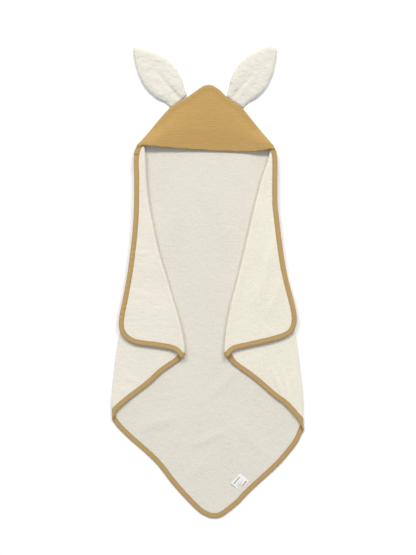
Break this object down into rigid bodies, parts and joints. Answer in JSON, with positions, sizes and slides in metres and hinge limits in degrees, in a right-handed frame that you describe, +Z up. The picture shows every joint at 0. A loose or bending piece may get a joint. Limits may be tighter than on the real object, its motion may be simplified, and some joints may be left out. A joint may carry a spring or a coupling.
{
  "type": "hooded baby towel",
  "caption": "Square terry bath towel with bound edges, a hood with two ears at one corner, both side corners pleated inwards",
  "frame": {"origin": "underside of the centre panel, on the surface that the towel lies on, under the middle of the folded towel", "axes": "+Y along the towel towards the hood and the ears, +Z up out of the surface that it lies on, +X to the right"},
  "size_m": [0.4756, 1.1577, 0.019],
  "materials": {
    "terry": "cotton terry loops, matte",
    "hood_cloth": "crinkled double gauze cotton, matte",
    "binding_tape": "plain woven cotton bias tape, matte",
    "thread": "twisted cotton sewing thread, matte",
    "label": "smooth woven satin ribbon"
  },
  "bodies": {
    "towel": {"centre_panel": "terry", "centre_binding": "binding_tape", "centre_stitching": "thread", "hood_outer": "hood_cloth", "hood_lining": "hood_cloth", "hood_binding": "binding_tape", "hood_stitching": "thread"},
    "left_under": {"left_under_panel": "terry", "left_under_binding": "binding_tape", "left_under_stitching": "thread", "left_outer_fold": "terry"},
    "left_flap": {"left_flap_panel": "terry", "left_flap_binding": "binding_tape", "left_flap_stitching": "thread", "left_inner_fold": "terry"},
    "right_under": {"right_under_panel": "terry", "right_under_binding": "binding_tape", "right_under_stitching": "thread", "right_outer_fold": "terry"},
    "right_flap": {"right_flap_panel": "terry", "right_flap_binding": "binding_tape", "right_flap_stitching": "thread", "right_inner_fold": "terry"},
    "ear_left": {"ear_left_back": "terry", "ear_left_front": "terry"},
    "ear_right": {"ear_right_back": "terry", "ear_right_front": "terry"},
    "care_label": {"care_label": "label"}
  },
  "joints": [
    {"name": "left_unfold", "type": "hinge", "parent": "towel", "child": "left_under", "pos_m": [-0.166, 0.322, 0.0048], "axis": [-0.1071, -0.9942, 0], "range_deg": [0, 179], "deforming": ["left_outer_fold"]},
    {"name": "left_flap_turn", "type": "hinge", "parent": "left_under", "child": "left_flap", "pos_m": [-0.147, 0.311, 0.0112], "axis": [0.1785, -0.9839, 0], "range_deg": [-179, 0], "deforming": ["left_inner_fold"]},
    {"name": "right_unfold", "type": "hinge", "parent": "towel", "child": "right_under", "pos_m": [0.16, 0.322, 0.0048], "axis": [-0.1077, 0.9942, 0], "range_deg": [0, 179], "deforming": ["right_outer_fold"]},
    {"name": "right_flap_turn", "type": "hinge", "parent": "right_under", "child": "right_flap", "pos_m": [0.146, 0.311, 0.0112], "axis": [0.209, 0.9779, 0], "range_deg": [-179, 0], "deforming": ["right_inner_fold"]},
    {"name": "ear_left_flop", "type": "hinge", "parent": "towel", "child": "ear_left", "pos_m": [-0.07647, 0.44307, 0.0046], "axis": [0.7732, 0.6341, 0], "range_deg": [0, 120]},
    {"name": "ear_right_flop", "type": "hinge", "parent": "towel", "child": "ear_right", "pos_m": [0.06686, 0.44294, 0.0046], "axis": [0.7649, -0.6442, 0], "range_deg": [0, 120]},
    {"name": "label_flip", "type": "hinge", "parent": "towel", "child": "care_label", "pos_m": [0.08924, -0.5, 0.0044], "axis": [0.6528, 0.7576, 0], "range_deg": [0, 170]}
  ],
  "couplings": [
    {"joint": "left_flap_turn", "follows": "left_unfold", "ratio": -1},
    {"joint": "right_flap_turn", "follows": "right_unfold", "ratio": -1}
  ]
}
